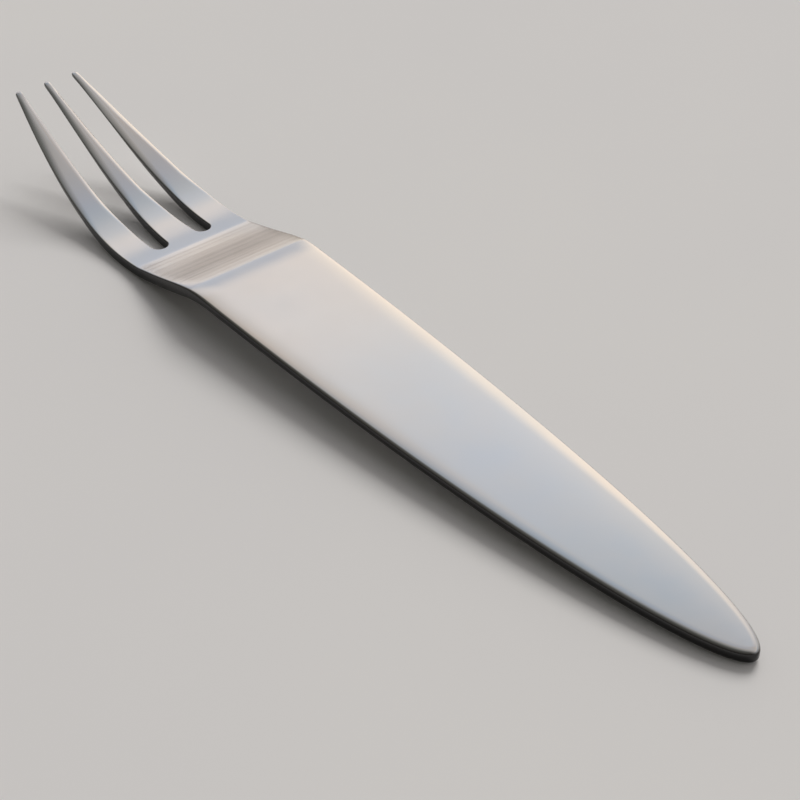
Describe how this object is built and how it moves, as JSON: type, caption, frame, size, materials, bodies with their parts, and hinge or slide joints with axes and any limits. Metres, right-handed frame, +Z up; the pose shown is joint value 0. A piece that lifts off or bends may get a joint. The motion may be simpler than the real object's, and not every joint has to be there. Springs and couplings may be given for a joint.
{
  "type": "dinner fork",
  "caption": "Stainless steel dinner fork with a broad flat leaf-shaped handle, a sharp crease, a stepped neck and curved tapering tines.",
  "frame": {"origin": "on the table, under the middle of the fork's length and width", "axes": "+X from the butt of the handle to the tips of the tines, +Y across the fork to its left side, +Z up from the table"},
  "size_m": [0.1906, 0.0262, 0.0161],
  "materials": {
    "satin_steel": "satin stainless steel, very fine brushing along the length",
    "polished_steel": "polished stainless steel with fine streaks across the width"
  },
  "bodies": {
    "root": {"handle": "satin_steel", "neck": "polished_steel", "head_root": "satin_steel", "tine_left": "satin_steel", "tine_middle": "satin_steel", "tine_right": "satin_steel"}
  },
  "joints": []
}
